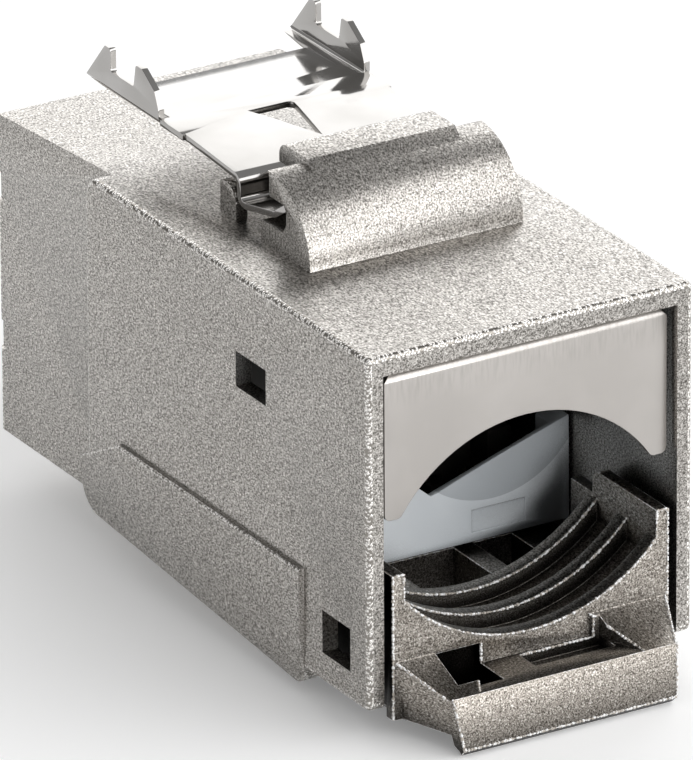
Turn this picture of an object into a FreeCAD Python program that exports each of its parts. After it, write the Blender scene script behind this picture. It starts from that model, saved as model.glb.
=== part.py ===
import FreeCAD, Part
import math
import os

# A shielded keystone jack: a die-cast body that snaps into a panel, with an eight-way socket at the
# front and a slide-in cable clamp at the rear.
#
# Millimetres. X runs across the jack, Y from the mating face to the cable, Z up. Everything is drawn
# with Z = 0 on the lower edge of the rear block, and moved at the end so that the origin is on the
# plug's axis, in the mating face.

V = FreeCAD.Vector

# Front block, which passes through the panel
NOSE_BOTTOM = 0.7
NOSE_LEN = 9.7
FACE_WALL = 1.2
NOSE_WALL = 1.1
NOSE_FLOOR_WALL = 0.9
NOSE_TOP_WALL = 1.35
FACE_EDGE_R = 0.4
FACE_NOTCH_H = 1.4
FACE_NOTCH_D = 0.25
FACE_NOTCH_RISES = (4.75, 12.05)

# Rear block, which holds the termination and the cable clamp
SHOULDER_STEP = 0.95
TOP_RISE = 0.65
BODY_WALL = 0.8
BODY_TOP_WALL = 0.95
BODY_EDGE_R = 0.25
SHOULDER_R = 1.0
HEEL_R = 0.4
ENTRY_L = 8.8

# Floor, and the sloping skid below it
FLOOR_T = 1.0
FLOOR_SETBACK = 1.4
SKID_FRONT_Z = 0.68
SKID_DROP = 1.65
SKID_SETBACK = 5.5
SKID_FRONT_R = 1.2
SKID_END_R = 0.9

# Raised side pads
PAD_PROUD = 0.3
PAD_TOP = 4.9
PAD_RAMP_H = 1.6
PAD_RAMP_L = 3.2
PAD_CREASE = 2.15
PAD_TUCK = 0.4
PAD_EDGE_R = 0.12

# Windows in the side walls
UPPER_WINDOW_L = 2.6
UPPER_WINDOW_H = 1.7
UPPER_WINDOW_Z = 11.5
UPPER_WINDOW_PAST = 0.1
LOWER_WINDOW_L = 2.4
LOWER_WINDOW_H = 2.05
LOWER_WINDOW_Z = 1.45
LOWER_WINDOW_SETBACK = 1.55

# Saddle on top that holds the root of the spring
SADDLE_W = 11.0
SADDLE_FRONT = 20.45
SADDLE_FLAT = 0.65
SADDLE_R = 3.6
SADDLE_SETBACK = 0.75
SADDLE_LEAN_H = 0.3
SADDLE_SINK = 0.2
LIP_W = 7.6
LIP_T = 0.95
LIP_PROUD = 0.35
LIP_OVERHANG = 1.25
LIP_LAP = 1.2
LIP_R = 0.6
POST_X = 5.32
POST_W = 0.6
POST_L = 1.35
POST_SETBACK = 2.5
POST_RISE = 1.6
POST_REAR_R = 0.85
POST_FRONT_R = 0.2

# Latch spring, one folded strip of steel, with heights above the top of the rear block
SPRING_T = 0.3
SPRING_W = 10.6
SPRING_LEAD = -0.05
SPRING_FRONT_RISE = 2.3
SPRING_CROWN_L = 5.5
SPRING_CROWN_RISE = 2.52
SPRING_CROWN_R = 40.0
SPRING_BEND_BACK = 2.25
SPRING_BEND_RISE = 2.15
SPRING_BEND_R = 0.4
FOOT_RISE = 1.0
FOOT_FLAT = 0.65
FOOT_SLOPE_L = 2.45
FOOT_SLOPE_RISE = 0.52
FOOT_R = 0.6
FOOT_END_L = 0.9
FOOT_END_RISE = 0.6
SLOT_CLEAR = 0.15
SLOT_PAST_TIP = 0.45
SLOT_CORNER_L = 0.3
SLOT_CORNER_H = 0.5
SLOT_R = 0.3
SPRING_WINDOW_L = 3.75
SPRING_WINDOW_W = 2.34
SPRING_WINDOW_X = -0.77
SPRING_WINDOW_BACK = 0.15
SPRING_WINDOW_SLANT = 0.67
SPRING_WINDOW_R = 0.3

# Ears of the spring, notched for the edge of the panel
EAR_SETBACK = 0.4
PANEL_SLOT = 2.05
EAR_RISE = 1.15
EAR_TIP_H = 1.1
EAR_TOE_L = 2.2
EAR_TOE_DROP = 0.85
EAR_FLAT_L = 0.5
EAR_TAIL_L = 0.75
EAR_TAIL_LEAN = 0.2
EAR_HEEL_L = 2.2
EAR_HEEL_DROP = 0.4
EAR_HEEL_CORNER = 0.35
EAR_FOOT_IN = 0.4
EAR_FOOT_DROP = 0.25
EAR_EDGE_R = 0.15
EAR_FOLD_R = 0.3
EAR_OUT = 0.2
WEB_IN = 0.4
WEB_TAIL = 2.0
WEB_OUT = 0.12

# Socket opening for the eight-way plug
PLUG_W = 11.7
PLUG_H = 6.8
PLUG_DEPTH = 12.4
PLUG_CLEAR = 0.05
CLIP_W = 6.1
CLIP_DROP = 1.6
CLIP_TIP_W = 3.4
CLIP_TIP_DROP = 0.6

# Plastic insert behind the face
INSERT_GAP = 0.05
INSERT_BACK_T = 0.8
INSERT_SIDE_T = 0.4
INSERT_FLOOR_T = 3.25
INSERT_ROOF_T = 1.65
CHANNEL_W = 0.55
CHANNEL_RISE = 0.6
CHANNEL_LEAD = 1.2

# Contacts, with heights from the top of the plug's room
WAYS = 8
CONTACT_PITCH = 1.02
CONTACT_T = 0.3
CONTACT_W = 0.4
CONTACT_RUN_RISE = 0.9
CONTACT_FRONT = 3.0
CONTACT_NOSE_L = 0.5
CONTACT_NOSE_DROP = 0.3
CONTACT_TIP_Y = 10.6
CONTACT_TIP_DROP = 2.1
CONTACT_BEND_R = 0.45
CONTACT_TAIL = 0.5

# Circuit board, standing behind the insert
BOARD_T = 1.2
BOARD_SIDE_GAP = 0.95
BOARD_LOW_GAP = 1.2
BOARD_TOP_GAP = 0.95
BOARD_GAP = 0.05
PIN_CLEAR = 0.1

# Termination block and its blades
BLOCK_BASE_T = 2.0
BLOCK_LEN = 8.0
BLOCK_SIDE_GAP = 0.3
TOWER_H = 3.5
LOWER_TOWER_GAP = 0.15
UPPER_TOWER_GAP = 0.75
BLADES_ACROSS = 4
BLADE_EDGE = 0.625
BLADE_W = 2.1
BLADE_T = 0.4
BLADE_SUNK = 0.4
BLADE_ROOT_GAP = 0.6
BLADE_SLOT_W = 0.35
BLADE_SLOT_L = 3.0
BLADE_LEAD_L = 0.5
BLADE_LEAD_W = 0.25
BLADE_CORNER = 0.4
WIRE_SLOT_W = 0.9
BLADE_FIT = 0.04

# Wire manager, pushed on from behind
MANAGER_SIDE_GAP = 0.15
MANAGER_TOP_GAP = 0.35
MANAGER_LOW_GAP = 1.4
MANAGER_GAP = 2.65
MANAGER_FACE_T = 0.35
MANAGER_SKIRT_T = 0.9
MANAGER_SKIRT_L = 1.1
OPENING_CORNER_X = -0.2
OPENING_CORNER_RISE = 2.7
OPENING_TOP_DROP = 2.8
OPENING_LEFT_X = 5.0
OPENING_LEFT_SLOPE = 40.0
OPENING_RIGHT_SLOPE = 18.0
DISH_X = -3.4
DISH_RISE = 6.8
DISH_R = 4.9
DISH_DEPTH = 0.15
PANEL_X = -5.1
PANEL_W = 2.8
PANEL_RISE = 0.45
PANEL_H = 1.1
PANEL_D = 0.06

# Arched shield plate in the top of the cable entry
PLATE_T = 0.3
PLATE_SIDE_GAP = 0.3
PLATE_TOP_GAP = 0.05
PLATE_INSET = 0.4
PLATE_H = 7.1
PLATE_FLANGE_L = 7.0
PLATE_BEND_R = 0.3
PLATE_CORNER = 0.5
PLATE_TIP_R = 0.3
PLATE_TIP_W = 0.8
ARCH_DROP = 3.6

# Cable clamp, which slides in below
CLAMP_GAP = 0.3
CLAMP_SIDE_GAP = 0.45
CLAMP_SIDE_T = 0.6
CLAMP_TOP = 6.3
CHEEK_L = 5.4
CHEEK_R = 0.6
RAIL_TOP = 5.15
RAIL_GAP = 1.6
GRATE_TOP = 2.0
GRATE_BAR = 0.4
GRATE_END_BAR = 0.2
GRATE_HOLE_W = 3.5
GRATE_SIDE_HOLE_X = 3.8
GRATE_SIDE_HOLE_W = 2.0
RIB_COUNT = 3
RIB_PITCH = 2.5
RIB_T = 0.8
RIB_LOW_Z = 2.1
RIB_SHOULDER_Z = 5.0
GROOVE_DEPTH = 0.75
KEEL_Z = -1.2
KEEL_CHAMFER = 1.1
KEEL_SETBACK = 0.4
KEEL_SLOPE_L = 0.4
BUMP_L = 0.9
BUMP_RAMP = 0.6
BUMP_H = 1.4
BUMP_CLEAR = 0.07

# Pull tab, gussets and hanging lip of the clamp
TAB_W = 12.1
TAB_T = 1.75
TAB_TOP = 1.1
TAB_L = 2.9
TAB_ROOT = 0.6
TAB_LIP_T = 0.75
TAB_LIP_DROP = 0.85
TAB_LIP_LEAN = 0.5
TAB_LIP_RISE = 0.12
TAB_LIP_R = 0.35
GUSSET_H = 1.05
GUSSET_INNER = 3.0
GUSSET_L = 2.6
GUSSET_NARROW = 1.2
TAB_TAPER = 0.13
TAB_SLOT_X = 2.6
TAB_SLOT_W = 2.35
TAB_SLOT_L = 1.95
TAB_SLOT_D = 1.35
TAB_SLOT_UP = 0.97
TAB_SLOT_IN = 0.55
TAB_POCKET_X = -3.4
TAB_POCKET_W = 4.1
TAB_POCKET_L = 1.3
TAB_POCKET_GAP = 0.2
TAB_POCKET_D = 0.5

# Ground springs beside the plug
GROUND_T = 0.15
GROUND_W = 1.6
GROUND_FRONT = 3.0
GROUND_L = 7.4
GROUND_SEAT_L = 1.6
GROUND_BULGE = 0.6
GROUND_END_R = 1.0
GROUND_CROWN_R = 1.5
GROUND_FIT = 0.02

# Widths that follow, from the plug outwards
INSERT_X = PLUG_W / 2 + INSERT_SIDE_T
NOSE_INNER_X = INSERT_X + INSERT_GAP
NOSE_X = NOSE_INNER_X + NOSE_WALL
BODY_X = NOSE_X + SHOULDER_STEP
INNER_X = BODY_X - BODY_WALL
MANAGER_X = INNER_X - MANAGER_SIDE_GAP
BLOCK_X = MANAGER_X - MANAGER_SKIRT_T - BLOCK_SIDE_GAP
CLAMP_X = INNER_X - CLAMP_SIDE_GAP
BLADE_PITCH = (2 * (BLOCK_X - BLADE_EDGE) - BLADE_W) / (BLADES_ACROSS - 1)

# Heights that follow, from the bottom of the nose upwards
NOSE_INNER_BOTTOM = NOSE_BOTTOM + NOSE_FLOOR_WALL
INSERT_BOTTOM = NOSE_INNER_BOTTOM + INSERT_GAP
PLUG_BOTTOM = INSERT_BOTTOM + INSERT_FLOOR_T
PLUG_AXIS_Z = PLUG_BOTTOM + PLUG_H / 2
PLUG_TOP = PLUG_BOTTOM + PLUG_H
CONTACT_RUN_Z = PLUG_TOP + CONTACT_RUN_RISE
CHANNEL_TOP = CONTACT_RUN_Z + CHANNEL_RISE
INSERT_TOP = CHANNEL_TOP + INSERT_ROOF_T
NOSE_INNER_TOP = INSERT_TOP + INSERT_GAP
NOSE_TOP = NOSE_INNER_TOP + NOSE_TOP_WALL
BODY_H = NOSE_TOP + TOP_RISE
INNER_TOP = BODY_H - BODY_TOP_WALL
MANAGER_TOP = INNER_TOP - MANAGER_TOP_GAP
MANAGER_BOTTOM = FLOOR_T + MANAGER_LOW_GAP
LOWER_TOWER_Z = MANAGER_BOTTOM + LOWER_TOWER_GAP + TOWER_H / 2
UPPER_TOWER_Z = MANAGER_TOP - UPPER_TOWER_GAP - TOWER_H / 2
LIP_TOP = BODY_H + SADDLE_R + LIP_PROUD
LIP_BOTTOM = LIP_TOP - LIP_T
SHEET_Z = BODY_H + SPRING_FRONT_RISE
EAR_NOTCH_Z = SHEET_Z + EAR_RISE
EAR_TIP_Z = EAR_NOTCH_Z + EAR_TIP_H
FOOT_Z = BODY_H + FOOT_RISE

# Places along the jack that follow, from the face to the cable
INSERT_REAR = PLUG_DEPTH + INSERT_BACK_T
BOARD_FRONT = INSERT_REAR + BOARD_GAP
BOARD_REAR = BOARD_FRONT + BOARD_T
BLOCK_FRONT = BOARD_REAR + BOARD_GAP
BLOCK_END = BLOCK_FRONT + BLOCK_LEN
MANAGER_FACE = BLOCK_END + MANAGER_GAP
MANAGER_REAR = MANAGER_FACE + MANAGER_FACE_T
BODY_LEN = MANAGER_REAR + ENTRY_L
FLOOR_END = MANAGER_REAR - FLOOR_SETBACK
CLAMP_FRONT = FLOOR_END + CLAMP_GAP
FIRST_RIB = BODY_LEN - (RIB_COUNT - 1) * RIB_PITCH - RIB_T
SKID_FRONT = NOSE_LEN
SKID_END = BODY_LEN - SKID_SETBACK
SKID_LOW = SKID_FRONT_Z - SKID_DROP
UPPER_WINDOW_Y = MANAGER_REAR + UPPER_WINDOW_PAST - UPPER_WINDOW_L
LOWER_WINDOW_Y = BODY_LEN - LOWER_WINDOW_SETBACK - LOWER_WINDOW_L
EAR_NOTCH_REAR = NOSE_LEN - EAR_SETBACK
EAR_NOTCH_FRONT = EAR_NOTCH_REAR - PANEL_SLOT
EAR_HEEL = EAR_NOTCH_REAR + EAR_HEEL_L
SPRING_FRONT = EAR_NOTCH_FRONT - SPRING_LEAD
SPRING_BEND_Y = SADDLE_FRONT - SPRING_BEND_BACK

# How far a cutting body runs past what it cuts
PAST = 1.0


def box(x0, x1, y0, y1, z0, z1):
    return Part.makeBox(x1 - x0, y1 - y0, z1 - z0, V(x0, y0, z0))


def side_prism(outline, x0, x1):
    """An outline in the side view, as (y, z) points, drawn out along X."""
    face = Part.Face(Part.makePolygon([V(x0, y, z) for y, z in outline + outline[:1]]))
    return face.extrude(V(x1 - x0, 0, 0))


def end_prism(outline, y0, y1):
    """An outline in the end view, as (x, z) points, drawn out along Y."""
    face = Part.Face(Part.makePolygon([V(x, y0, z) for x, z in outline + outline[:1]]))
    return face.extrude(V(0, y1 - y0, 0))


def plan_prism(outline, z0, z1):
    """An outline in the plan, as (x, y) points, drawn out along Z."""
    face = Part.Face(Part.makePolygon([V(x, y, z0) for x, y in outline + outline[:1]]))
    return face.extrude(V(0, 0, z1 - z0))


def mirrored(shape):
    return shape.mirror(V(0, 0, 0), V(1, 0, 0))


def both_sides(shape):
    return [shape, mirrored(shape)]


def near(a, b):
    return abs(a - b) < 0.001


def round_edges(shape, radius, wanted):
    """Rounds the edges whose middle point passes the test."""
    return shape.makeFillet(radius, [e for e in shape.Edges if wanted(e.CenterOfMass, e)])


def bent_strip(path, radii, thickness, x0, x1):
    """A folded strip: its middle line in the side view, with a bend radius for each inner point."""
    points = [V(x0, y, z) for y, z in path]
    runs = [(b - a).normalize() for a, b in zip(points, points[1:])]
    sides = [V(0, -r.z, r.y) for r in runs]
    half = thickness / 2

    def chain(offset):
        edges = []
        start = points[0] + sides[0] * offset
        for i, radius in enumerate(radii):
            before, after = runs[i], runs[i + 1]
            reach = radius * math.tan(before.getAngle(after) / 2)
            sign = 1 if sides[i].dot(after) > 0 else -1
            centre = points[i + 1] - before * reach + sides[i] * (sign * radius)
            arm = sign * (radius - sign * offset)
            first = centre - sides[i] * arm
            middle = centre - (sides[i] + sides[i + 1]).normalize() * arm
            last = centre - sides[i + 1] * arm
            edges.append(Part.LineSegment(start, first).toShape())
            edges.append(Part.Arc(first, middle, last).toShape())
            start = last
        end = points[-1] + sides[-1] * offset
        edges.append(Part.LineSegment(start, end).toShape())
        return edges, points[0] + sides[0] * offset, end

    upper, upper_start, upper_end = chain(half)
    lower, lower_start, lower_end = chain(-half)
    caps = [Part.LineSegment(upper_end, lower_end).toShape(),
            Part.LineSegment(upper_start, lower_start).toShape()]
    outline = Part.Wire(Part.__sortEdges__(upper + lower + caps))
    return Part.Face(outline).extrude(V(x1 - x0, 0, 0))


def plug_profile(y0, y1, clearance=0.0):
    """The stepped outline that a plug and its clip pass through."""
    half = PLUG_W / 2 + clearance
    top = PLUG_TOP + clearance
    shelf = PLUG_BOTTOM - clearance
    clip = CLIP_W / 2 + clearance
    step = shelf - CLIP_DROP
    tip = CLIP_TIP_W / 2 + clearance
    low = step - CLIP_TIP_DROP
    right = [(half, top), (half, shelf), (clip, shelf), (clip, step), (tip, step), (tip, low)]
    left = [(-x, z) for x, z in reversed(right)]
    return end_prism(right + left, y0, y1)


def nose_block():
    """The front block, whose top rises a little towards the shoulder."""
    tail = NOSE_LEN + 2 * SHOULDER_R
    outline = [(0, NOSE_BOTTOM), (0, NOSE_TOP), (NOSE_LEN, BODY_H), (tail, BODY_H), (tail, NOSE_BOTTOM)]
    block = side_prism(outline, -NOSE_X, NOSE_X)
    block = round_edges(block, FACE_EDGE_R, lambda c, e: near(c.y, 0))
    side = NOSE_X
    for rise in FACE_NOTCH_RISES:
        low = NOSE_BOTTOM + rise - FACE_NOTCH_H / 2
        notch = box(side - FACE_NOTCH_D, side + PAST, -PAST, FACE_EDGE_R + FACE_NOTCH_D, low,
                    low + FACE_NOTCH_H)
        block = block.cut(both_sides(notch))
    return block


def rear_block():
    """The rear block; the rounding of its side edges runs on round the heel and up the rear rim."""
    level = SKID_FRONT + SKID_FRONT_Z * (SKID_END - SKID_FRONT) / SKID_DROP
    outline = [(NOSE_LEN, BODY_H), (NOSE_LEN, SKID_FRONT_Z), (level, 0), (BODY_LEN, 0), (BODY_LEN, BODY_H)]
    block = side_prism(outline, -BODY_X, BODY_X)
    block = round_edges(block, SHOULDER_R, lambda c, e: near(c.y, NOSE_LEN) and near(c.z, BODY_H))
    block = round_edges(block, SKID_FRONT_R, lambda c, e: near(c.y, NOSE_LEN) and near(c.z, SKID_FRONT_Z))
    block = round_edges(block, HEEL_R, lambda c, e: near(c.y, BODY_LEN) and near(c.z, 0))
    side_edge = lambda c: near(abs(c.x), BODY_X) and c.z > BODY_H - SHOULDER_R
    rear_rim = lambda c: near(c.y, BODY_LEN) and near(c.z, BODY_H)
    return round_edges(block, BODY_EDGE_R, lambda c, e: side_edge(c) or rear_rim(c))


def skid_line(y):
    """Height of the sloping underside at a place along the jack."""
    slope = SKID_DROP / (SKID_END - SKID_FRONT)
    return SKID_FRONT_Z - slope * (y - SKID_FRONT)


def skid():
    """The wedge under the floor, which the clamp carries on behind it."""
    outline = [(SKID_FRONT, FLOOR_T), (SKID_FRONT, SKID_FRONT_Z),
               (FLOOR_END, skid_line(FLOOR_END)), (FLOOR_END, FLOOR_T)]
    return side_prism(outline, -INNER_X, INNER_X)


def side_pad():
    """The raised pad on the +X side, tucked in below its crease and cut off along the skid line."""
    proud = BODY_X + PAD_PROUD
    section = [(INNER_X, PAD_TOP), (proud, PAD_TOP), (proud, PAD_CREASE),
               (proud - PAD_TUCK, SKID_LOW), (INNER_X, SKID_LOW)]
    bar = end_prism(section, SKID_FRONT, SKID_END)
    outline = [(SKID_FRONT, SKID_FRONT_Z), (SKID_FRONT, PAD_TOP - PAD_RAMP_H),
               (SKID_FRONT + PAD_RAMP_L, PAD_TOP), (SKID_END, PAD_TOP), (SKID_END, SKID_LOW)]
    slab = side_prism(outline, INNER_X, proud)
    slab = round_edges(slab, SKID_END_R, lambda c, e: near(c.y, SKID_END) and near(c.z, SKID_LOW))
    slab = round_edges(slab, SKID_FRONT_R, lambda c, e: near(c.y, SKID_FRONT) and near(c.z, SKID_FRONT_Z))
    upper_rim = lambda c, e: near(c.x, proud) and c.z > PAD_TOP - PAD_RAMP_H and c.y < SKID_END - PAST
    return round_edges(bar.common(slab), PAD_EDGE_R, upper_rim)


def saddle():
    """The hood over the spring's root: a low front wall, the hood set back above it, and a front lip."""
    half = SADDLE_W / 2
    base = BODY_H - SADDLE_SINK
    crown = BODY_H + SADDLE_R
    crown_y = SADDLE_FRONT + SADDLE_FLAT
    upper_y = SADDLE_FRONT + SADDLE_SETBACK
    rear = crown_y + SADDLE_R
    reach = SADDLE_R * math.sqrt(0.5)
    corners = [(rear, BODY_H), (rear, base), (SADDLE_FRONT, base), (SADDLE_FRONT, FOOT_Z), (upper_y, FOOT_Z),
               (upper_y, crown - SADDLE_LEAN_H), (crown_y, crown)]
    points = [V(-half, y, z) for y, z in corners]
    edges = [Part.LineSegment(a, b).toShape() for a, b in zip(points, points[1:])]
    edges.append(Part.Arc(points[-1], V(-half, crown_y + reach, BODY_H + reach), points[0]).toShape())
    hood = Part.Face(Part.Wire(edges)).extrude(V(SADDLE_W, 0, 0))
    lip_front = SADDLE_FRONT - LIP_OVERHANG
    lip_rear = SADDLE_FRONT + LIP_LAP
    lip = side_prism([(lip_front, LIP_BOTTOM), (lip_front, LIP_TOP), (lip_rear, LIP_TOP),
                      (lip_rear + LIP_T, LIP_BOTTOM)], -LIP_W / 2, LIP_W / 2)
    lip = round_edges(lip, LIP_R, lambda c, e: near(c.y, lip_front) and near(c.z, LIP_TOP))
    return hood.fuse(lip)


def spring_foot():
    """The foot of the spring behind its rear bend: a short flat, a slope and the curled end."""
    flat = SPRING_BEND_Y + FOOT_FLAT
    slope = flat + FOOT_SLOPE_L
    high = FOOT_Z + FOOT_SLOPE_RISE
    return [(flat, FOOT_Z), (slope, high), (slope + FOOT_END_L, high + FOOT_END_RISE)]


def root_slot():
    """The slot across the saddle that takes the spring's foot and its curled end."""
    (flat_y, flat_z), (slope_y, slope_z), (end_y, end_z) = spring_foot()
    room = SPRING_T / 2 + SLOT_CLEAR
    entry_z = flat_z + (slope_z - flat_z) * (SADDLE_FRONT - flat_y) / (slope_y - flat_y)
    low = entry_z - room
    top = end_z + room
    front = SADDLE_FRONT - PAST
    rear = end_y + SLOT_PAST_TIP
    slot = side_prism([(front, low), (rear - SLOT_CORNER_L, low), (rear, low + SLOT_CORNER_H), (rear, top),
                       (front, top)], -SADDLE_W, SADDLE_W)
    return round_edges(slot, SLOT_R, lambda c, e: near(c.y, rear) and near(c.z, top))


def spring_post():
    """A post with a rounded back that stands below the spring's edge, on the +X side."""
    rear = SADDLE_FRONT - POST_SETBACK
    front = rear - POST_L
    top = BODY_H + POST_RISE
    post = box(POST_X - POST_W, POST_X, front, rear, BODY_H - SADDLE_SINK, top)
    post = round_edges(post, POST_REAR_R, lambda c, e: near(c.y, rear) and near(c.z, top))
    return round_edges(post, POST_FRONT_R, lambda c, e: near(c.y, front) and near(c.z, top))


def wall_window(y, length, low, height):
    return box(INNER_X - PAST, BODY_X + PAST, y, y + length, low, low + height)


def housing():
    block = nose_block().fuse([rear_block(), skid()] + both_sides(side_pad()))
    block = block.fuse([saddle()] + both_sides(spring_post())).cut(root_slot())
    nose_room = box(-NOSE_INNER_X, NOSE_INNER_X, FACE_WALL, INSERT_REAR + PAST, NOSE_INNER_BOTTOM,
                    NOSE_INNER_TOP)
    rear_room = box(-INNER_X, INNER_X, INSERT_REAR, BODY_LEN + PAST, FLOOR_T, INNER_TOP)
    clamp_room = box(-INNER_X, INNER_X, FLOOR_END, BODY_LEN + PAST, SKID_LOW - PAST, INNER_TOP)
    room = nose_room.fuse([rear_room, clamp_room]).removeSplitter()
    cuts = [plug_profile(-PAST, FACE_WALL + PAST, PLUG_CLEAR)]
    cuts += both_sides(wall_window(UPPER_WINDOW_Y, UPPER_WINDOW_L, UPPER_WINDOW_Z, UPPER_WINDOW_H))
    cuts += both_sides(wall_window(LOWER_WINDOW_Y, LOWER_WINDOW_L, LOWER_WINDOW_Z, LOWER_WINDOW_H))
    return block.cut(room).cut(cuts).removeSplitter()


def ear_fold(y0, y1):
    """The edge of the sheet on the +X side, folded up."""
    edge = SPRING_W / 2 + EAR_OUT - SPRING_T / 2
    level = (SHEET_Z + BODY_H + SPRING_CROWN_RISE) / 2
    path = [(edge - EAR_FOLD_R - WEB_IN, level), (edge, level), (edge, EAR_TIP_Z + PAST)]
    fold = bent_strip(path, [EAR_FOLD_R], SPRING_T, -y1, -y0)
    fold.rotate(V(0, 0, 0), V(0, 0, 1), -90)
    return fold


def spring_ear():
    """The upright ear on the +X side, notched for the edge of the panel."""
    toe = EAR_NOTCH_FRONT - EAR_TOE_L
    foot = EAR_TIP_Z - EAR_TOE_DROP - EAR_TIP_H
    outline = [(toe, foot), (EAR_NOTCH_FRONT - EAR_FLAT_L, EAR_TIP_Z), (EAR_NOTCH_FRONT, EAR_TIP_Z),
               (EAR_NOTCH_FRONT, EAR_NOTCH_Z), (EAR_NOTCH_REAR, EAR_NOTCH_Z),
               (EAR_NOTCH_REAR + EAR_TAIL_LEAN, EAR_TIP_Z),
               (EAR_NOTCH_REAR + EAR_TAIL_L, EAR_TIP_Z),
               (EAR_HEEL - EAR_HEEL_CORNER, EAR_NOTCH_Z + EAR_HEEL_DROP),
               (EAR_HEEL, EAR_NOTCH_Z - EAR_HEEL_DROP), (EAR_HEEL, FOOT_Z), (SPRING_FRONT, FOOT_Z),
               (SPRING_FRONT, foot - EAR_FOOT_DROP), (SPRING_FRONT - EAR_FOOT_IN, foot - EAR_FOOT_DROP)]
    ear = ear_fold(toe, EAR_HEEL).common(side_prism(outline, 0, SPRING_W))
    edge = SPRING_W / 2 + EAR_OUT - SPRING_T / 2
    corners = lambda c, e: near(c.x, edge) and near(e.Length, SPRING_T) and c.z > foot - EAR_EDGE_R
    return round_edges(ear, EAR_EDGE_R, corners)


def spring_window():
    """The three-cornered window in the sheet of the spring."""
    y = SPRING_FRONT + SPRING_CROWN_L - SPRING_WINDOW_BACK
    x = SPRING_WINDOW_X
    outline = [(x + SPRING_WINDOW_W, y), (x, y), (x + SPRING_WINDOW_SLANT, y + SPRING_WINDOW_L)]
    window = plan_prism(outline, FOOT_Z, EAR_TIP_Z)
    return round_edges(window, SPRING_WINDOW_R, lambda c, e: near(c.x, x) and near(c.y, y))


def spring_strip(half):
    """The strip, from its front edge over the crown and round the rear bend to the curled end."""
    front = (SPRING_FRONT, SHEET_Z)
    crown = (SPRING_FRONT + SPRING_CROWN_L, BODY_H + SPRING_CROWN_RISE)
    bend = [(SPRING_BEND_Y, BODY_H + SPRING_BEND_RISE), (SPRING_BEND_Y, FOOT_Z)]
    radii = [SPRING_CROWN_R, SPRING_BEND_R, SPRING_BEND_R, FOOT_R, FOOT_R]
    return bent_strip([front, crown] + bend + spring_foot(), radii, SPRING_T, -half, half)


def latch_spring():
    half = SPRING_W / 2
    beside = box(half - WEB_IN, half + PAST, SPRING_FRONT - PAST, EAR_HEEL, FOOT_Z, EAR_TIP_Z)
    strip = spring_strip(half).cut([spring_window()] + both_sides(beside))
    wide = half + WEB_OUT
    tail = spring_strip(wide).common(box(half - WEB_IN, wide, EAR_HEEL, EAR_HEEL + WEB_TAIL, FOOT_Z + SPRING_T,
                                         EAR_TIP_Z))
    return strip.fuse(both_sides(tail) + both_sides(spring_ear())).removeSplitter()


def contact_places():
    return [(i - (WAYS - 1) / 2) * CONTACT_PITCH for i in range(WAYS)]


def blade_places():
    """The blades across in each of two rows."""
    across = [(i - (BLADES_ACROSS - 1) / 2) * BLADE_PITCH for i in range(BLADES_ACROSS)]
    return [(x, z) for z in (UPPER_TOWER_Z, LOWER_TOWER_Z) for x in across]


def insert():
    """The plastic insert: the plug's room, and a comb of channels for the contacts above it."""
    body = box(-INSERT_X, INSERT_X, FACE_WALL + INSERT_GAP, INSERT_REAR,
               INSERT_BOTTOM, INSERT_TOP)
    cuts = [plug_profile(0, PLUG_DEPTH)]
    half = CHANNEL_W / 2
    for x in contact_places():
        cuts.append(box(x - half, x + half, CONTACT_FRONT - CHANNEL_LEAD, INSERT_REAR + PAST,
                        PLUG_TOP - PAST, CHANNEL_TOP))
    depth = INSERT_X - GROUND_T - 2 * GROUND_FIT
    half_w = GROUND_W / 2 + PLUG_CLEAR
    rear = GROUND_FRONT + GROUND_L
    pocket = box(depth, INSERT_X + PAST, GROUND_FRONT - GROUND_T, rear + GROUND_T, PLUG_AXIS_Z - half_w,
                 PLUG_AXIS_Z + half_w)
    window = box(PLUG_W / 2 - PAST, INSERT_X + PAST, GROUND_FRONT + GROUND_SEAT_L - GROUND_T,
                 rear - GROUND_SEAT_L + GROUND_T, PLUG_AXIS_Z - half_w, PLUG_AXIS_Z + half_w)
    return body.cut(cuts + both_sides(pocket.fuse(window)))


def contact(x):
    """A gold-plated wire: out of the board, forward, round its bend and back down into the room."""
    path = [(BOARD_REAR + CONTACT_TAIL, CONTACT_RUN_Z), (CONTACT_FRONT, CONTACT_RUN_Z),
            (CONTACT_FRONT + CONTACT_NOSE_L, PLUG_TOP - CONTACT_NOSE_DROP),
            (CONTACT_TIP_Y, PLUG_TOP - CONTACT_TIP_DROP)]
    radii = [CONTACT_BEND_R, CONTACT_BEND_R]
    return bent_strip(path, radii, CONTACT_T, x - CONTACT_W / 2, x + CONTACT_W / 2)


def contact_holes(y1):
    half = CONTACT_W / 2 + PIN_CLEAR
    return [box(x - half, x + half, 0, y1, CONTACT_RUN_Z - half, CONTACT_RUN_Z + half)
            for x in contact_places()]


def circuit_board():
    half = INNER_X - BOARD_SIDE_GAP
    board = box(-half, half, BOARD_FRONT, BOARD_REAR, FLOOR_T + BOARD_LOW_GAP, INNER_TOP - BOARD_TOP_GAP)
    return board.cut(contact_holes(BODY_LEN))


def blade(x, z):
    """A forked blade that cuts through a wire's insulation."""
    half = BLADE_W / 2
    slot = BLADE_SLOT_W / 2
    heel = BLOCK_FRONT + BLADE_ROOT_GAP
    tip = BLOCK_END - BLADE_SUNK
    lead = tip - BLADE_LEAD_L
    root = tip - BLADE_SLOT_L
    right = [(slot, root), (slot, lead), (slot + BLADE_LEAD_W, tip), (half - BLADE_CORNER, tip),
             (half, lead), (half, heel)]
    left = [(-dx, y) for dx, y in reversed(right)]
    return plan_prism([(x + dx, y) for dx, y in right + left], z - BLADE_T / 2, z + BLADE_T / 2)


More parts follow.
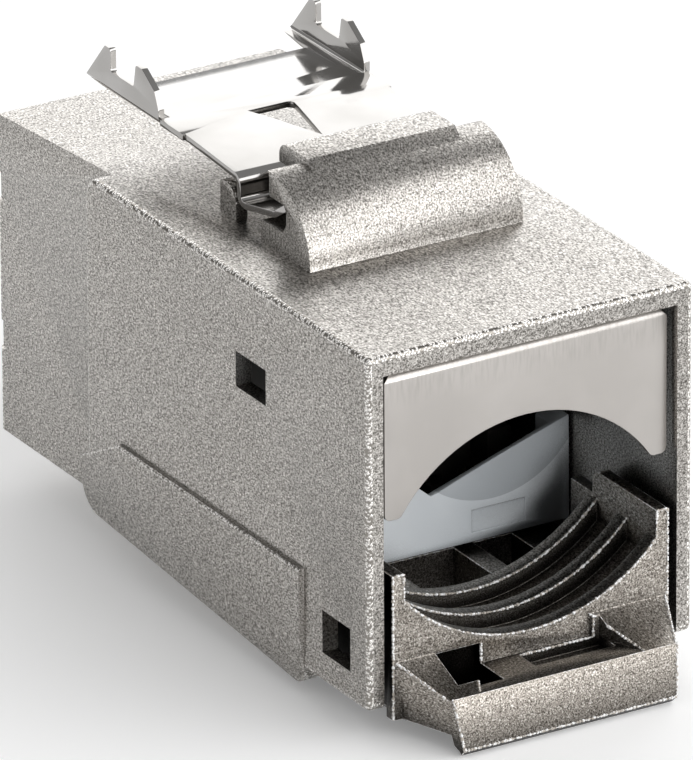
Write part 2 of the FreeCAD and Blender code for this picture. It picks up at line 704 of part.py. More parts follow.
def blade_room(x, z):
    """What a blade and the wire pressed into it leave free in the block."""
    wide = BLADE_W / 2 + BLADE_FIT
    thick = BLADE_T / 2 + BLADE_FIT
    wire = WIRE_SLOT_W / 2
    seat = box(x - wide, x + wide, BLOCK_FRONT + BLADE_ROOT_GAP - BLADE_FIT, BODY_LEN, z - thick, z + thick)
    slot = box(x - wire, x + wire, BLOCK_END - BLADE_SLOT_L, BODY_LEN, z - TOWER_H, z + TOWER_H)
    return [seat, slot]


def termination_block():
    """The plastic block that carries the blades in two rows of towers."""
    reach = TOWER_H / 2
    body = box(-BLOCK_X, BLOCK_X, BLOCK_FRONT, BLOCK_FRONT + BLOCK_BASE_T, LOWER_TOWER_Z - reach,
               UPPER_TOWER_Z + reach)
    body = body.fuse([box(-BLOCK_X, BLOCK_X, BLOCK_FRONT, BLOCK_END, z - reach, z + reach)
                      for z in (LOWER_TOWER_Z, UPPER_TOWER_Z)])
    cuts = contact_holes(BOARD_REAR + CONTACT_TAIL + PIN_CLEAR)
    for x, z in blade_places():
        cuts += blade_room(x, z)
    return body.cut(cuts).removeSplitter()


def manager_opening():
    """The skewed opening for the cable, whose lower edges climb to both sides from one corner."""
    corner_z = MANAGER_BOTTOM + OPENING_CORNER_RISE
    top = MANAGER_TOP - OPENING_TOP_DROP
    left_z = corner_z + (OPENING_LEFT_X - OPENING_CORNER_X) * math.tan(math.radians(OPENING_LEFT_SLOPE))
    right_x = -MANAGER_X - PAST
    right_z = corner_z + (OPENING_CORNER_X - right_x) * math.tan(math.radians(OPENING_RIGHT_SLOPE))
    outline = [(OPENING_CORNER_X, corner_z), (right_x, right_z), (right_x, top), (OPENING_LEFT_X, top),
               (OPENING_LEFT_X, left_z)]
    return end_prism(outline, BLOCK_FRONT, BODY_LEN)


def manager_dish():
    """The shallow round dish in the manager's rear face."""
    ball_r = (DISH_R ** 2 + DISH_DEPTH ** 2) / (2 * DISH_DEPTH)
    return Part.makeSphere(ball_r, V(DISH_X, MANAGER_REAR - DISH_DEPTH + ball_r, MANAGER_BOTTOM + DISH_RISE))


def wire_manager():
    """The white cap behind the blades."""
    skirt_front = MANAGER_FACE - MANAGER_SKIRT_L
    body = box(-MANAGER_X, MANAGER_X, skirt_front, MANAGER_REAR, MANAGER_BOTTOM, MANAGER_TOP)
    inner = MANAGER_X - MANAGER_SKIRT_T
    hollow = box(-inner, inner, skirt_front - PAST, MANAGER_FACE, MANAGER_BOTTOM - PAST, MANAGER_TOP + PAST)
    mark_z = MANAGER_BOTTOM + PANEL_RISE
    mark = box(PANEL_X, PANEL_X + PANEL_W, MANAGER_REAR - PANEL_D, MANAGER_REAR + PAST, mark_z, mark_z + PANEL_H)
    return body.cut([hollow, manager_opening(), manager_dish(), mark])


def shield_plate():
    """The arched plate, folded from a flange that lies under the housing's top wall."""
    rear = BODY_LEN - PLATE_INSET
    top = INNER_TOP - PLATE_TOP_GAP
    half = INNER_X - PLATE_SIDE_GAP
    tip = top - PLATE_H
    middle_y = rear - PLATE_T / 2
    path = [(rear - PLATE_FLANGE_L, top - PLATE_T / 2), (middle_y, top - PLATE_T / 2), (middle_y, tip)]
    plate = bent_strip(path, [PLATE_BEND_R + PLATE_T / 2], PLATE_T, -half, half)
    chord = half - PLATE_TIP_W
    rise = PLATE_H - ARCH_DROP
    arch_r = (chord ** 2 + rise ** 2) / (2 * rise)
    arch = Part.makeCylinder(arch_r, 2 * PAST, V(0, rear - PAST, top - ARCH_DROP - arch_r), V(0, 1, 0))
    corner = end_prism([(half - PLATE_CORNER, top), (half, top - PLATE_CORNER), (half + PAST, top - PLATE_CORNER),
                        (half + PAST, top + PAST), (half - PLATE_CORNER, top + PAST)], rear - PAST, rear + PAST)
    plate = plate.cut([arch] + both_sides(corner))
    return round_edges(plate, PLATE_TIP_R, lambda c, e: near(c.z, tip) and near(e.Length, PLATE_T))


def rib_drum(y0, y1, drop):
    """A drum as wide as the cable's bed, to be cut from the clamp."""
    half = CLAMP_X - CLAMP_SIDE_T
    rise = RIB_SHOULDER_Z - RIB_LOW_Z
    radius = (half ** 2 + rise ** 2) / (2 * rise)
    drum = Part.makeCylinder(radius + drop, y1 - y0, V(0, y0, RIB_LOW_Z + radius), V(0, 1, 0))
    return drum.common(box(-half, half, y0, y1, KEEL_Z, CLAMP_TOP))


def clamp_block():
    """The solid block of the clamp, stepped down towards its front and chamfered along its keel."""
    cheek_front = BODY_LEN - CHEEK_L
    keel_rear = BODY_LEN - KEEL_SETBACK
    tab_bottom = TAB_TOP - TAB_T
    rail_front = MANAGER_REAR + RAIL_GAP
    outline = [(CLAMP_FRONT, skid_line(CLAMP_FRONT)), (CLAMP_FRONT, GRATE_TOP), (rail_front, GRATE_TOP),
               (rail_front, RAIL_TOP), (cheek_front, RAIL_TOP), (cheek_front, CLAMP_TOP),
               (BODY_LEN, CLAMP_TOP), (BODY_LEN, tab_bottom), (keel_rear, tab_bottom),
               (keel_rear - KEEL_SLOPE_L, KEEL_Z)]
    block = side_prism(outline, -CLAMP_X, CLAMP_X)
    block = round_edges(block, CHEEK_R, lambda c, e: near(c.y, cheek_front) and near(c.z, CLAMP_TOP))
    keel = CLAMP_X - KEEL_CHAMFER
    section = [(CLAMP_X, CLAMP_TOP), (CLAMP_X, KEEL_Z + KEEL_CHAMFER), (keel, KEEL_Z), (-keel, KEEL_Z),
               (-CLAMP_X, KEEL_Z + KEEL_CHAMFER), (-CLAMP_X, CLAMP_TOP)]
    return block.common(end_prism(section, CLAMP_FRONT, BODY_LEN))


def grate_holes():
    front = CLAMP_FRONT + GRATE_BAR
    rear = FIRST_RIB - GRATE_END_BAR
    middle = box(-GRATE_HOLE_W / 2, GRATE_HOLE_W / 2, front, rear, KEEL_Z - PAST, GRATE_TOP + PAST)
    side = box(GRATE_SIDE_HOLE_X - GRATE_SIDE_HOLE_W / 2, GRATE_SIDE_HOLE_X + GRATE_SIDE_HOLE_W / 2, front,
               rear, KEEL_Z - PAST, GRATE_TOP + PAST)
    return [middle] + both_sides(side)


def clamp_bed():
    """The ribbed bed between its side walls, with the grate ahead of it."""
    inner = CLAMP_X - CLAMP_SIDE_T
    cuts = [box(-inner, inner, CLAMP_FRONT - PAST, FIRST_RIB, GRATE_TOP, CLAMP_TOP + PAST),
            box(-inner, inner, FIRST_RIB - PAST, BODY_LEN + PAST, RIB_SHOULDER_Z, CLAMP_TOP + PAST)]
    for i in range(RIB_COUNT):
        rear = BODY_LEN - i * RIB_PITCH
        cuts.append(rib_drum(rear - RIB_T, rear, 0))
        if i < RIB_COUNT - 1:
            cuts.append(rib_drum(rear - RIB_PITCH, rear - RIB_T, GROOVE_DEPTH))
    return clamp_block().cut(cuts + grate_holes())


def tab_gusset():
    """A sloping gusset between the rear rib and the end of the tab, on the +X side."""
    root = BODY_LEN - TAB_ROOT
    rear = BODY_LEN + GUSSET_L
    crest = TAB_TOP + GUSSET_H
    gusset = side_prism([(root, TAB_TOP - TAB_LIP_R), (root, crest), (BODY_LEN, crest), (rear, TAB_TOP),
                         (rear, TAB_TOP - TAB_LIP_R)], GUSSET_INNER, CLAMP_X)
    plan = [(GUSSET_INNER, root), (CLAMP_X, root), (CLAMP_X, rear), (GUSSET_INNER + GUSSET_NARROW, rear),
            (GUSSET_INNER, BODY_LEN)]
    return gusset.common(plan_prism(plan, TAB_TOP - TAB_T, crest))


def tab_flank():
    """What is cut off beside the tab on the +X side, so that it narrows to the rear and downwards."""
    top = TAB_TOP + GUSSET_H + PAST
    drop = top - (TAB_TOP - TAB_T - TAB_LIP_DROP - PAST)
    end = BODY_LEN + TAB_L
    corners = [(CLAMP_X, BODY_LEN), (TAB_W / 2, end), (TAB_W / 2, end + 2 * PAST), (CLAMP_X + PAST, end + 2 * PAST),
               (CLAMP_X + PAST, BODY_LEN)]
    face = Part.Face(Part.makePolygon([V(x, y, top) for x, y in corners + corners[:1]]))
    return face.extrude(V(-TAB_TAPER * drop, 0, -drop))


def clamp_tab():
    """The pull tab with its hanging lip."""
    root = BODY_LEN - TAB_ROOT
    end = BODY_LEN + TAB_L
    lip_rear = end + TAB_LIP_LEAN
    bottom = TAB_TOP - TAB_T
    lip_bottom = bottom - TAB_LIP_DROP
    outline = [(root, TAB_TOP), (end - TAB_LIP_RISE, TAB_TOP), (end, TAB_TOP + TAB_LIP_RISE),
               (lip_rear, lip_bottom + TAB_LIP_R), (lip_rear - TAB_LIP_R, lip_bottom),
               (lip_rear - TAB_LIP_T, lip_bottom + TAB_LIP_R), (end - TAB_LIP_R, bottom), (root, bottom)]
    tab = side_prism(outline, -CLAMP_X, CLAMP_X)
    pocket_y = BODY_LEN + TAB_POCKET_GAP
    pocket = box(TAB_POCKET_X, TAB_POCKET_X + TAB_POCKET_W, pocket_y, pocket_y + TAB_POCKET_L,
                 TAB_TOP - TAB_POCKET_D, TAB_TOP + GUSSET_H)
    return tab.fuse(both_sides(tab_gusset())).cut([pocket] + both_sides(tab_flank()))


def tab_slot():
    """The deep slot beside the +X gusset, which also runs a little way into the rear rib."""
    low = TAB_TOP - TAB_SLOT_D
    behind = box(TAB_SLOT_X, TAB_SLOT_X + TAB_SLOT_W, BODY_LEN, BODY_LEN + TAB_SLOT_L, low, CLAMP_TOP)
    below = box(TAB_SLOT_X, TAB_SLOT_X + TAB_SLOT_W, BODY_LEN - TAB_SLOT_IN, BODY_LEN, low, TAB_TOP + TAB_SLOT_UP)
    return behind.fuse(below)


def clamp_bump():
    """The catch on the +X cheek that shows in the lower window."""
    face = CLAMP_X + CLAMP_SIDE_GAP - BUMP_CLEAR
    root = CLAMP_X - CLAMP_SIDE_T / 2
    rear = LOWER_WINDOW_Y + LOWER_WINDOW_L / 2 + BUMP_L
    low = LOWER_WINDOW_Z + BUMP_CLEAR
    outline = [(root, rear - BUMP_L - BUMP_RAMP), (CLAMP_X, rear - BUMP_L - BUMP_RAMP), (face, rear - BUMP_L),
               (face, rear), (root, rear)]
    return plan_prism(outline, low, low + BUMP_H)


def cable_clamp():
    clamp = clamp_bed().fuse([clamp_tab()] + both_sides(clamp_bump()))
    return clamp.cut(tab_slot()).removeSplitter()


def ground_spring():
    """A thin finger on the +X side that bears on the plug's metal shell."""
    seat = INSERT_X - GROUND_T / 2 - GROUND_FIT
    rear = GROUND_FRONT + GROUND_L
    path = [(GROUND_FRONT, seat), (GROUND_FRONT + GROUND_SEAT_L, seat),
            (GROUND_FRONT + GROUND_L / 2, seat - GROUND_BULGE), (rear - GROUND_SEAT_L, seat), (rear, seat)]
    low = PLUG_AXIS_Z - GROUND_W / 2
    strip = bent_strip(path, [GROUND_END_R, GROUND_CROWN_R, GROUND_END_R], GROUND_T, low, low + GROUND_W)
    strip.rotate(V(0, 0, 0), V(0, 1, 0), -90)
    return mirrored(strip)


def save(shape, node):
    placed = shape.copy()
    placed.translate(V(0, 0, -PLUG_AXIS_Z))
    placed.exportStep(f"parts/{node}.step")


def main():
    os.makedirs("parts", exist_ok=True)
    save(housing(), "housing")
    save(latch_spring(), "latch_spring")
    save(insert(), "socket_insert")
    for i, x in enumerate(contact_places(), 1):
        save(contact(x), f"contact_{i}")
    save(circuit_board(), "circuit_board")
    save(termination_block(), "termination_block")
    for i, (x, z) in enumerate(blade_places(), 1):
        save(blade(x, z), f"blade_{i}")
    save(wire_manager(), "wire_manager")
    save(shield_plate(), "shield_plate")
    save(cable_clamp(), "cable_clamp")
    save(ground_spring(), "ground_spring_left")
    save(mirrored(ground_spring()), "ground_spring_right")


main()
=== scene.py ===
"""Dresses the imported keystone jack: rounded, grained and beaded meshes, light and camera."""
import math
import random

import bmesh
import bpy
from mathutils import Matrix, Vector


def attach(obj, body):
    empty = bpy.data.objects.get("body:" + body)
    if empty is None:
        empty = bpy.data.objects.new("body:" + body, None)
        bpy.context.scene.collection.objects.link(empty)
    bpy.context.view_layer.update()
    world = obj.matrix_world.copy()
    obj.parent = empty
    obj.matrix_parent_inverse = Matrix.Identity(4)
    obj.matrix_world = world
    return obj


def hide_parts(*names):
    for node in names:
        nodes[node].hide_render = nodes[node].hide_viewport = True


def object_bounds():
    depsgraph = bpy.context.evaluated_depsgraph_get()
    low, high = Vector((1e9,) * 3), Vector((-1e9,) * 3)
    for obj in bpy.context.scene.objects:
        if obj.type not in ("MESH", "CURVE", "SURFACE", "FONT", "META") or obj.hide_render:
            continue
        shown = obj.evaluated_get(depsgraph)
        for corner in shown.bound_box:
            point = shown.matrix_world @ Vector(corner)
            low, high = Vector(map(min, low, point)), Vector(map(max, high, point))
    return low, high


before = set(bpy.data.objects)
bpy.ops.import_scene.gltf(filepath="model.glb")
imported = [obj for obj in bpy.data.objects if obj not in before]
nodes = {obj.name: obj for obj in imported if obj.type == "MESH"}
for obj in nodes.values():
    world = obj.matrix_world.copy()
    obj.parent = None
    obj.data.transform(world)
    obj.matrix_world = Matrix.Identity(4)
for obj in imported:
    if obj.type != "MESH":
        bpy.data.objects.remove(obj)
cad_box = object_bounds()

MM = 0.001

# The contacts and the blades are numbered from 1 to this
WAYS = 8

# Camera, worked out from the straight edges of the two blocks in the photograph; roll in degrees
CAMERA_AT = (307.7 * MM, 534.8 * MM, 262.4 * MM)
CAMERA_LOOK = (-0.46918, -0.78720, -0.40024)
CAMERA_ROLL = 0.30
CAMERA_LENS = 762.04
CAMERA_SENSOR = 36.0

# Small rounds: lengths in mm, angles in degrees
MERGE_WITHIN = 0.0005
FLAT_WITHIN = 1.0
ROUND_FROM_ANGLE = 32.0
SMOOTH_BELOW_ANGLE = 35.0

# Outward rounds: widest face in mm, long edges as a part of the longest, least turn in degrees
ROUND_FACE_W = 0.16
LONG_EDGE = 0.5
INWARD_ANGLE = -5.0

# Beads of built-up plating: lengths in mm, angle in degrees, the sink as a part of the radius
BEAD_STEP = 0.1
BEAD_RADII = (0.05, 0.1)
BEAD_SINK = 0.4
BEAD_FROM_ANGLE = 35.0
BEAD_SEED = 7
CLAMP_BEADS_FROM_Y = 28.0

# Least Y and Z of the unit vector out of an edge that carries beads
BEAD_LEAST_REARWARD = 0.3
BEAD_LEAST_UPWARD = -0.3

# Patterns that follow the shape: the plate's streaks and the cap's dish of painted shade in mm,
# rays per point of the ambient occlusion
STREAK_Z = (5.7, 6.7)
DISH_X = -3.4
DISH_Z = 0.90
DISH_R = 4.9
OPEN_AIR_SAMPLES = 8

# Studio: places and sizes in mm, power in watts
FLOOR_SIZE = 4000.0
FLOOR_GAP = 0.02
FLOOR_GLOW = 0.18
WORLD_STRENGTH = 0.4
LAMPS_AIM_Y = 17
LAMPS = (("back_softbox", (-260, -420, 235), (760, 420), 1.85),
         ("front_softbox", (-260, 350, 250), (620, 450), 2.0),
         ("opening_fill", (-20, 600, 80), (200, 140), 0.55))


def hex_colour(code):
    """An sRGB hex value as linear red, green, blue and alpha."""
    channels = [int(code[i:i + 2], 16) / 255 for i in (1, 3, 5)]
    linear = [c / 12.92 if c <= 0.04045 else ((c + 0.055) / 1.055) ** 2.4 for c in channels]
    return (*linear, 1.0)


def per_metre(millimetres):
    """The scale of a pattern whose features are this far apart."""
    return 1 / (millimetres * MM)


def add(tree, kind, settings=None, **links):
    """A node with its settings and links; a link is a socket, anything else is a value."""
    node = tree.nodes.new(kind)
    for name, value in (settings or {}).items():
        setattr(node, name, value)
    for name, value in links.items():
        key = int(name[1:]) if name[0] == "_" and name[1:].isdigit() else name.replace("_", " ")
        socket = node.inputs[key]
        if isinstance(value, bpy.types.NodeSocket):
            tree.links.new(value, socket)
        else:
            socket.default_value = value
    return node


def new_material(name, **shader):
    """A material with one shader, and the object coordinates its patterns are laid out in."""
    material = bpy.data.materials.new(name)
    material.use_nodes = True
    tree = material.node_tree
    tree.nodes.clear()
    surface = add(tree, "ShaderNodeBsdfPrincipled", **shader)
    add(tree, "ShaderNodeOutputMaterial", Surface=surface.outputs[0])
    place = add(tree, "ShaderNodeTexCoord").outputs["Object"]
    return material, tree, surface, place


def feed(tree, surface, **outputs):
    """Links outputs to the shader's inputs of these names."""
    for name, output in outputs.items():
        tree.links.new(output, surface.inputs[name.replace("_", " ")])


def noise(tree, place, apart, detail=2.0):
    return add(tree, "ShaderNodeTexNoise", Vector=place, Scale=per_metre(apart),
               Detail=detail).outputs[0]


def cells(tree, place, apart):
    pattern = add(tree, "ShaderNodeTexVoronoi", Vector=place, Scale=per_metre(apart))
    return pattern.outputs["Distance"]


def scaled(tree, place, *scale):
    return add(tree, "ShaderNodeMapping", Vector=place, Scale=scale).outputs[0]


def open_air(tree, reach):
    """How open the surroundings are within this many millimetres, from 0 to 1."""
    return add(tree, "ShaderNodeAmbientOcclusion", {"samples": OPEN_AIR_SAMPLES},
               Distance=reach * MM).outputs["AO"]


def spread(tree, factor, low, high):
    return add(tree, "ShaderNodeMapRange", Value=factor, To_Min=low, To_Max=high).outputs[0]


def ramp(tree, factor, *stops):
    node = add(tree, "ShaderNodeValToRGB", Fac=factor)
    elements = node.color_ramp.elements
    while len(elements) < len(stops):
        elements.new(1.0)
    for element, (at, code) in zip(elements, stops):
        element.position = at
        element.color = hex_colour(code) if isinstance(code, str) else (code, code, code, 1)
    return node.outputs[0]


def math_node(tree, operation, first, second):
    return add(tree, "ShaderNodeMath", {"operation": operation}, _0=first, _1=second).outputs[0]


def mix_colour(tree, factor, first, second):
    return add(tree, "ShaderNodeMix", {"data_type": "RGBA"}, _0=factor, _6=first,
               _7=second).outputs[2]


def bump(tree, height, strength, depth):
    return add(tree, "ShaderNodeBump", Strength=strength, Distance=depth * MM,
               Height=height).outputs[0]


def die_casting(name, light, dark, recess_shade, shade):
    """Zinc die casting, tumbled and nickel plated: sandy and satin, with painted glints on its
    brightest grains and painted shade that darkens its recesses.
    """
    material, tree, surface, place = new_material(name, Metallic=1.0, Roughness=0.34)
    sand = noise(tree, scaled(tree, place, 1.0, 0.55, 1.0), 0.068, detail=1.0)
    # The top stop of this ramp is a painted glint, a near-white sparkle on the brightest grains;
    # the lower stops are the grain's own tone.
    speck_and_glint = ramp(tree, sand, (0.31, dark), (0.63, light), (0.8, "#f6f4f0"))
    pits = ramp(tree, cells(tree, place, 0.2), (0.0, 0.35), (0.22, 0.0))
    speck_and_glint = mix_colour(tree, pits, speck_and_glint, hex_colour("#5d5955"))
    # Painted shade: where the ambient occlusion finds the surroundings closed, the colour goes
    # towards the recess shade colour.
    painted_recess_shade = ramp(tree, open_air(tree, 3.0), (0.4, shade), (0.82, 0.0))
    feed(tree, surface,
         Base_Color=mix_colour(tree, painted_recess_shade, speck_and_glint, hex_colour(recess_shade)),
         Roughness=spread(tree, noise(tree, place, 5.0), 0.31, 0.39),
         Normal=bump(tree, sand, 0.4, 0.02))
    return material


def painted_edge_highlight(name, light, dark, metallic, apart):
    """The same nickel plating with small beads along the edges, bumped as domes and coloured as a
    painted highlight: light on the domes, dark between them.
    """
    material, tree, surface, place = new_material(name, Metallic=metallic, Roughness=0.22)
    beads = cells(tree, place, apart)
    dome = ramp(tree, beads, (0.0, 1.0), (0.3, 0.75), (0.55, 0.0))
    # Painted highlight: the bead colours make the edges read as bright glinting lines.
    feed(tree, surface,
         Base_Color=ramp(tree, beads, (0.4, light), (0.62, dark)),
         Normal=bump(tree, dome, 0.8, 0.03))
    return material


def spring_steel():
    """Bright rolled spring strip: nearly a mirror, with faint rolling lines."""
    material, tree, surface, place = new_material("rolled_spring_steel", Metallic=1.0,
                                                  Roughness=0.12)
    lines = noise(tree, scaled(tree, place, 1.0, 0.06, 1.0), 0.2)
    feed(tree, surface,
         Base_Color=ramp(tree, noise(tree, place, 3.0), (0.3, "#a6a4a1"), (0.7, "#b1afad")),
         Roughness=spread(tree, lines, 0.08, 0.16),
         Normal=bump(tree, lines, 0.08, 0.01))
    return material


def tinned_sheet():
    """Cold-rolled sheet, tin plated and bent: satin, with upright streaks from the bending."""
    material, tree, surface, place = new_material("tinned_sheet", Metallic=1.0, Roughness=0.32)
    streaks = noise(tree, scaled(tree, place, 1.0, 1.0, 0.12), 0.14, detail=3.0)
    height = add(tree, "ShaderNodeSeparateXYZ", Vector=place).outputs["Z"]
    below_bend = add(tree, "ShaderNodeMapRange", Value=height, From_Min=STREAK_Z[0] * MM,
                     From_Max=STREAK_Z[1] * MM).outputs[0]
    mark = math_node(tree, "MULTIPLY", below_bend, ramp(tree, streaks, (0.42, 0.0), (0.7, 0.4)))
    plain = ramp(tree, noise(tree, place, 2.5), (0.35, "#b6b2ae"), (0.7, "#bcb8b4"))
    feed(tree, surface,
         Base_Color=mix_colour(tree, mark, plain, hex_colour("#97938f")),
         Roughness=spread(tree, streaks, 0.26, 0.38),
         Normal=bump(tree, streaks, 0.12, 0.01))
    return material


def moulded_plastic(name, light, dark, roughness):
    """Injection-moulded plastic with a fine spark-eroded texture."""
    material, tree, surface, place = new_material(name, Roughness=roughness)
    fine = noise(tree, place, 0.09)
    feed(tree, surface,
         Base_Color=ramp(tree, noise(tree, place, 4.0), (0.3, dark), (0.7, light)),
         Roughness=spread(tree, fine, roughness - 0.04, roughness + 0.05),
         Normal=bump(tree, fine, 0.1, 0.01))
    return material


def cap_plastic(light, dark, dish_shade):
    """Cool grey PBT with painted shade: darker in corners and seams where the ambient occlusion
    finds them closed, and darker inside the dish.
    """
    material, tree, surface, place = new_material("cool_grey_pbt", Roughness=0.34)
    plain = ramp(tree, noise(tree, place, 4.0), (0.3, dark), (0.7, light))
    side_on = scaled(tree, place, 1.0, 0.0, 1.0)
    reach = add(tree, "ShaderNodeVectorMath", {"operation": "DISTANCE"}, _0=side_on,
                _1=(DISH_X * MM, 0.0, DISH_Z * MM)).outputs["Value"]
    # Painted shade inside the dish's circle, seen side on.
    dish = math_node(tree, "LESS_THAN", reach, DISH_R * MM)
    colour = mix_colour(tree, dish, plain, hex_colour(dish_shade))
    # Painted shade: darker towards the corners, where the surroundings within 6 mm are closed.
    corner = ramp(tree, open_air(tree, 6.0), (0.25, 0.9), (0.5, 0.0))
    colour = mix_colour(tree, corner, colour, hex_colour("#3c3f42"))
    # Painted shade: darker along the seams, where the surroundings within 0.25 mm are closed.
    seam_shade = ramp(tree, open_air(tree, 0.25), (0.5, 0.6), (0.95, 0.0))
    feed(tree, surface, Base_Color=mix_colour(tree, seam_shade, colour, hex_colour("#70757a")))
    return material


def plated_metal(name, light, dark, roughness):
    """Small stamped contacts, plated: smooth, with faint draw lines."""
    material, tree, surface, place = new_material(name, Metallic=1.0, Roughness=roughness)
    lines = noise(tree, place, 0.3)
    feed(tree, surface,
         Base_Color=ramp(tree, lines, (0.3, dark), (0.7, light)),
         Normal=bump(tree, lines, 0.1, 0.005))
    return material


def laminate():
    """Glass-fibre board under green solder resist."""
    material, tree, surface, place = new_material("glass_fibre_board", Roughness=0.35)
    weave = cells(tree, place, 0.45)
    feed(tree, surface, Base_Color=ramp(tree, weave, (0.0, "#1f5433"), (1.0, "#17422a")))
    return material


def apply_all(obj):
    bpy.ops.object.select_all(action="DESELECT")
    obj.select_set(True)
    bpy.context.view_layer.objects.active = obj
    for modifier in list(obj.modifiers):
        bpy.ops.object.modifier_apply(modifier=modifier.name)


def merged_copy(node, name):
    """A copy of a node's mesh with its doubles merged and its flat faces made whole."""
    mesh = nodes[node].data.copy()
    mesh.name = name
    obj = bpy.data.objects.new(name, mesh)
    bpy.context.scene.collection.objects.link(obj)
    bm = bmesh.new()
    bm.from_mesh(mesh)
    bm.transform(nodes[node].matrix_world)
    bmesh.ops.remove_doubles(bm, verts=bm.verts, dist=MERGE_WITHIN * MM)
    bmesh.ops.dissolve_limit(bm, angle_limit=math.radians(FLAT_WITHIN), verts=bm.verts,
                             edges=bm.edges)
    bm.to_mesh(mesh)
    bm.free()
    mesh.materials.clear()
    return obj


def beaded_lines(mesh, least_y):
    """The sharp rearward edges of a mesh, from least_y on: both ends and the direction outwards."""
    lines = []
    bm = bmesh.new()
    bm.from_mesh(mesh)
    for edge in bm.edges:
        start, end = (vertex.co.copy() for vertex in edge.verts)
        turn = edge.calc_face_angle_signed(0.0)
        if min(start.y, end.y) > least_y * MM and turn > math.radians(BEAD_FROM_ANGLE):
            outward = (edge.link_faces[0].normal + edge.link_faces[1].normal).normalized()
            if outward.y > BEAD_LEAST_REARWARD and outward.z > BEAD_LEAST_UPWARD:
                lines.append((start, end, outward))
    bm.free()
    return lines


def bead_chains(lines):
    """Small beads of built-up plating along these edges, for the second material."""
    pick = random.Random(BEAD_SEED)
    beads = bmesh.new()
    for start, end, outward in lines:
        count = max(1, round((end - start).length / (BEAD_STEP * MM)))
        for i in range(count):
            radius = pick.uniform(*BEAD_RADII) * MM
            centre = start.lerp(end, (i + pick.random()) / count) - BEAD_SINK * radius * outward
            bmesh.ops.create_icosphere(beads, subdivisions=1, radius=radius,
                                       matrix=Matrix.Translation(centre))
    for face in beads.faces:
        face.smooth = True
        face.material_index = 1
    chains = bpy.data.meshes.new("beads")
    beads.to_mesh(chains)
    beads.free()
    return chains


def join_mesh(obj, extra):
    bm = bmesh.new()
    bm.from_mesh(obj.data)
    bm.from_mesh(extra)
    bm.to_mesh(obj.data)
    bm.free()
    bpy.data.meshes.remove(extra)


def rounded(node, name, body, width, material, beads_from_y=None):
    """A node's shape with a small round on its sharp edges, and with beads where asked for."""
    obj = merged_copy(node, name)
    lines = beaded_lines(obj.data, beads_from_y) if beads_from_y else []
    bevel = obj.modifiers.new("round", "BEVEL")
    bevel.width = width * MM
    bevel.segments = 2
    bevel.limit_method = "ANGLE"
    bevel.angle_limit = math.radians(ROUND_FROM_ANGLE)
    bevel.use_clamp_overlap = True
    apply_all(obj)
    bpy.ops.object.shade_smooth_by_angle(angle=math.radians(SMOOTH_BELOW_ANGLE))
    obj.data.materials.append(material)
    if lines:
        join_mesh(obj, bead_chains(lines))
    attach(obj, body)
    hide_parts(node)
    return obj


def mark_edges(obj, material):
    """Gives the narrow faces of outward roundings a material of their own."""
    obj.data.materials.append(material)
    bm = bmesh.new()
    bm.from_mesh(obj.data)
    for face in bm.faces:
        longest = max(edge.calc_length() for edge in face.edges)
        if face.calc_area() < ROUND_FACE_W * MM * longest:
            turns = [edge.calc_face_angle_signed(0.0) for edge in face.edges
                     if edge.calc_length() > LONG_EDGE * longest]
            if min(turns) > math.radians(INWARD_ANGLE):
                face.material_index = 1
    bm.to_mesh(obj.data)
    bm.free()


def paint(node, material):
    mesh = nodes[node].data
    mesh.materials.clear()
    mesh.materials.append(material)


def dress():
    # The last two values of each casting are its painted recess shade, colour and strength; the
    # clamp's copy is darker overall and its grooves near black.
    casting = die_casting("nickel_plated_zinc", "#c6c2bd", "#585550", "#6f6b66", 0.2)
    clamp_casting = die_casting("nickel_plated_zinc_clamp_shaded", "#b1aba3", "#4e4842", "#0f0c0a", 0.97)
    shell = rounded("housing", "casting", "jack_body", 0.05, casting)
    # The narrow edge faces get a painted highlight; the clamp's is white and barely metallic.
    mark_edges(shell, painted_edge_highlight("nickel_edge_beads_painted_highlight", "#efece8", "#8d8983", 1.0, 0.13))
    clamp = rounded("cable_clamp", "ribbed_clamp", "clamp", 0.09, clamp_casting,
                    beads_from_y=CLAMP_BEADS_FROM_Y)
    mark_edges(clamp, painted_edge_highlight("clamp_edge_beads_painted_highlight", "#ffffff", "#b5aea5", 0.15, 0.17))
    rounded("latch_spring", "folded_spring", "latch", 0.05, spring_steel())
    rounded("shield_plate", "arched_plate", "jack_body", 0.05, tinned_sheet())
    # The cap's third colour is its painted dish shade.
    cap = cap_plastic("#edf2f6", "#e4eaef", "#c3c9ce")
    rounded("wire_manager", "wire_cap", "jack_body", 0.08, cap)
    black = moulded_plastic("black_pbt", "#34322f", "#272523", 0.42)
    rounded("socket_insert", "socket_liner", "jack_body", 0.06, black)
    rounded("termination_block", "blade_block", "jack_body", 0.06, black)
    gold = plated_metal("gold_plate", "#e3bf72", "#cda353", 0.2)
    bronze = plated_metal("tinned_bronze", "#c9c2b4", "#b5ad9e", 0.3)
    for i in range(1, WAYS + 1):
        paint(f"contact_{i}", gold)
        paint(f"blade_{i}", bronze)
    paint("circuit_board", laminate())
    for side in ("left", "right"):
        paint(f"ground_spring_{side}", bronze)


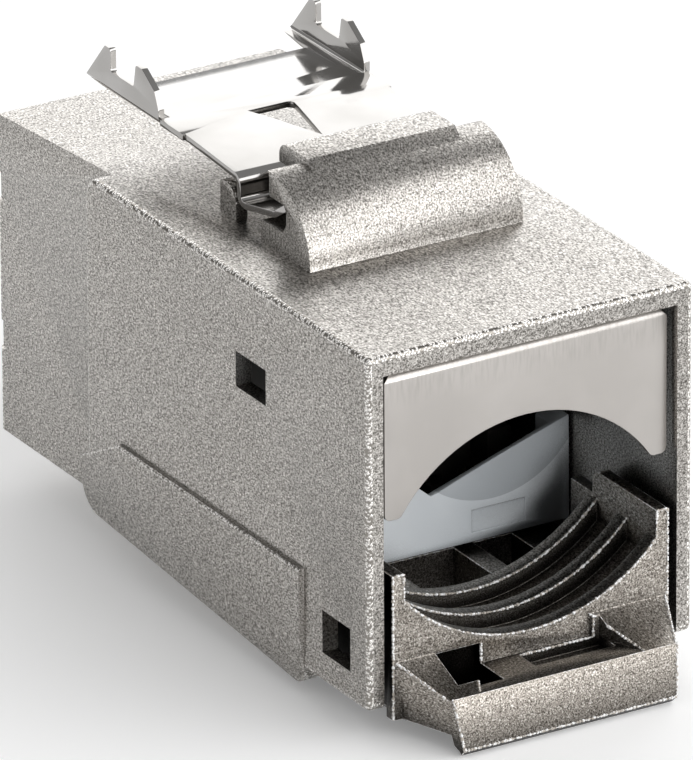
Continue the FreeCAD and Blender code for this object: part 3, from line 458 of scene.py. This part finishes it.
def lay_floor():
    """A pale table just under the part, which glows a little to the camera and in reflections."""
    height = cad_box[0][2] - FLOOR_GAP * MM
    bpy.ops.object.select_all(action="DESELECT")
    bpy.ops.mesh.primitive_plane_add(size=FLOOR_SIZE * MM, location=(0, 0, height))
    floor = bpy.context.object
    floor.name = "floor"
    material, tree, surface, place = new_material("pale_table", Roughness=0.8)
    surface.inputs["Emission Color"].default_value = (1, 1, 1, 1)
    rays = add(tree, "ShaderNodeLightPath").outputs
    seen = math_node(tree, "MAXIMUM", rays["Is Camera Ray"], rays["Is Glossy Ray"])
    seen = math_node(tree, "MAXIMUM", seen, rays["Is Transmission Ray"])
    feed(tree, surface,
         Base_Color=ramp(tree, noise(tree, place, 80.0), (0.3, "#fafafa"), (0.7, "#fcfcfc")),
         Emission_Strength=math_node(tree, "MULTIPLY", seen, FLOOR_GLOW))
    floor.data.materials.append(material)


def hang_lamps():
    """A plain white world, soft lights over the plug's and the cable's side, and a low fill."""
    world = bpy.data.worlds.new("studio")
    bpy.context.scene.world = world
    world.use_nodes = True
    background = world.node_tree.nodes["Background"]
    background.inputs[0].default_value = (1, 1, 1, 1)
    background.inputs[1].default_value = WORLD_STRENGTH
    for name, place_mm, size_mm, watts in LAMPS:
        data = bpy.data.lights.new(name, "AREA")
        data.shape = "RECTANGLE"
        data.size = size_mm[0] * MM
        data.size_y = size_mm[1] * MM
        data.energy = watts
        lamp = bpy.data.objects.new(name, data)
        lamp.location = [v * MM for v in place_mm]
        aim = Vector((0, LAMPS_AIM_Y * MM, 0)) - lamp.location
        lamp.rotation_euler = aim.to_track_quat("-Z", "Y").to_euler()
        bpy.context.scene.collection.objects.link(lamp)


def camera():
    data = bpy.data.cameras.new("camera")
    data.sensor_fit = "HORIZONTAL"
    data.sensor_width = CAMERA_SENSOR
    data.lens = CAMERA_LENS
    data.clip_start = 0.01
    data.clip_end = 20.0
    obj = bpy.data.objects.new("camera", data)
    look = Vector(CAMERA_LOOK).normalized()
    level = look.to_track_quat("-Z", "Y")
    roll = Matrix.Rotation(math.radians(CAMERA_ROLL), 3, look)
    obj.matrix_world = Matrix.Translation(CAMERA_AT) @ (roll @ level.to_matrix()).to_4x4()
    bpy.context.scene.collection.objects.link(obj)
    bpy.context.scene.camera = obj


bpy.context.scene.view_settings.view_transform = "Standard"
dress()
lay_floor()
hang_lamps()
camera()
